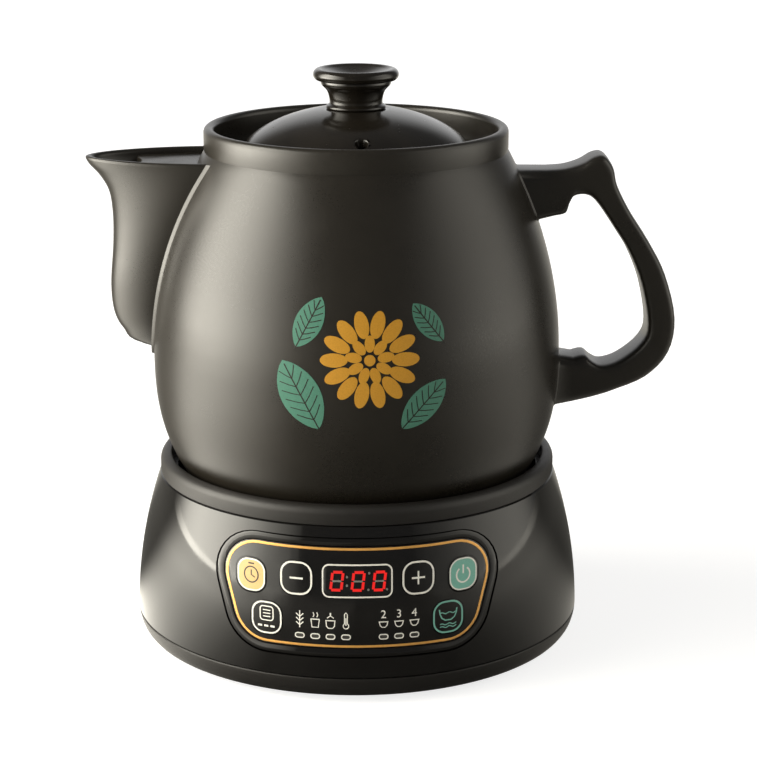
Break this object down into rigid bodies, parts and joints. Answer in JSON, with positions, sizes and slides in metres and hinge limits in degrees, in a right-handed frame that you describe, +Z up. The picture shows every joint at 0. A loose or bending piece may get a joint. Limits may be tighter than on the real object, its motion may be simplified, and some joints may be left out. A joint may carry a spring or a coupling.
{
  "type": "electric herbal decoction pot",
  "caption": "Ceramic herbal pot with pouring spout, side handle and lift-off domed lid with a knob, standing in a round heated base with a curved touch-key panel.",
  "frame": {"origin": "on the floor, under the middle of the whole object's length and depth", "axes": "+Z up, -X towards the spout, +X towards the handle, -Y towards the front panel"},
  "size_m": [0.2928, 0.2252, 0.2869],
  "materials": {
    "pot_ceramic": "satin-matte, fine grain",
    "lid_glaze": "glossy",
    "base_gloss": "glossy",
    "base_matte": "matte, fine texture",
    "dark_rubber": "matte",
    "well_enamel": "satin",
    "gasket_rubber": "matte",
    "plate_metal": "satin",
    "bright_steel": "brushed",
    "white_ceramic": "matte",
    "panel_gloss": "glossy",
    "key_film": "satin, printed",
    "gold_line": "metallic gold",
    "window_smoke": "clear smoke",
    "light_lens": "milky",
    "black_plastic": "matte",
    "white_plastic": "matte",
    "board_green": "satin",
    "relay_blue": "glossy",
    "transformer_tape": "satin",
    "capacitor_sleeve": "satin",
    "pin_brass": "satin",
    "wire_sleeve": "satin"
  },
  "bodies": {
    "base": {"rim_ring": "base_matte", "base_shell": "base_gloss", "bottom_cover": "base_matte", "rubber_feet": "dark_rubber", "cover_screws": "bright_steel", "well_liner": "well_enamel", "centring_pads": "base_matte", "plate_gasket": "gasket_rubber", "heater_plate": "plate_metal", "heating_element": "bright_steel", "heat_shield": "plate_metal", "heater_nuts": "bright_steel", "sensor_holder": "bright_steel", "thermal_fuse": "white_ceramic", "fuse_clip": "bright_steel", "panel_bezel": "panel_gloss", "control_panel": "panel_gloss", "gold_trim": "gold_line", "display_window": "window_smoke", "indicator_lights": "light_lens", "tact_switches": "black_plastic", "display_holder": "white_plastic", "display_module": "black_plastic", "status_leds": "white_plastic", "buzzer": "black_plastic", "control_board": "board_green", "board_bracket": "white_plastic", "board_screws": "bright_steel", "power_board": "board_green", "power_relay": "relay_blue", "transformer": "transformer_tape", "filter_capacitor": "capacitor_sleeve", "board_connectors": "white_plastic", "power_inlet": "black_plastic", "inlet_pins": "pin_brass", "inlet_wires": "wire_sleeve", "heater_wires": "wire_sleeve", "sensor_wires": "wire_sleeve", "ribbon_cable": "wire_sleeve"},
    "pot": {"pot_foot": "pot_ceramic", "pot_body": "pot_ceramic", "pot_collar": "pot_ceramic", "pot_spout": "pot_ceramic", "pot_handle": "pot_ceramic"},
    "lid": {"lid_dome": "lid_glaze", "lid_knob": "lid_glaze"},
    "timer_key": {"timer_key": "key_film"},
    "minus_key": {"minus_key": "key_film"},
    "plus_key": {"plus_key": "key_film"},
    "start_key": {"start_key": "key_film"},
    "mode_key": {"mode_key": "key_film"},
    "water_key": {"water_key": "key_film"},
    "sensor": {"sensor_cap": "bright_steel", "sensor_spring": "bright_steel"}
  },
  "joints": [
    {"name": "pot_lift", "type": "slide", "parent": "base", "child": "pot", "axis": [0, 0, 1], "range_m": [0, 0.08]},
    {"name": "lid_lift", "type": "slide", "parent": "pot", "child": "lid", "axis": [0, 0, 1], "range_m": [0, 0.06]},
    {"name": "timer_key_press", "type": "slide", "parent": "base", "child": "timer_key", "axis": [0, 1, 0], "range_m": [0, 0.0005], "stiffness_N_per_m": 800},
    {"name": "minus_key_press", "type": "slide", "parent": "base", "child": "minus_key", "axis": [0, 1, 0], "range_m": [0, 0.0005], "stiffness_N_per_m": 800},
    {"name": "plus_key_press", "type": "slide", "parent": "base", "child": "plus_key", "axis": [0, 1, 0], "range_m": [0, 0.0005], "stiffness_N_per_m": 800},
    {"name": "start_key_press", "type": "slide", "parent": "base", "child": "start_key", "axis": [0, 1, 0], "range_m": [0, 0.0005], "stiffness_N_per_m": 800},
    {"name": "mode_key_press", "type": "slide", "parent": "base", "child": "mode_key", "axis": [0, 1, 0], "range_m": [0, 0.0005], "stiffness_N_per_m": 800},
    {"name": "water_key_press", "type": "slide", "parent": "base", "child": "water_key", "axis": [0, 1, 0], "range_m": [0, 0.0005], "stiffness_N_per_m": 800},
    {"name": "sensor_press", "type": "slide", "parent": "base", "child": "sensor", "axis": [0, 0, 1], "range_m": [-0.0017, 0], "stiffness_N_per_m": 600, "deforming": ["sensor_spring"]}
  ]
}
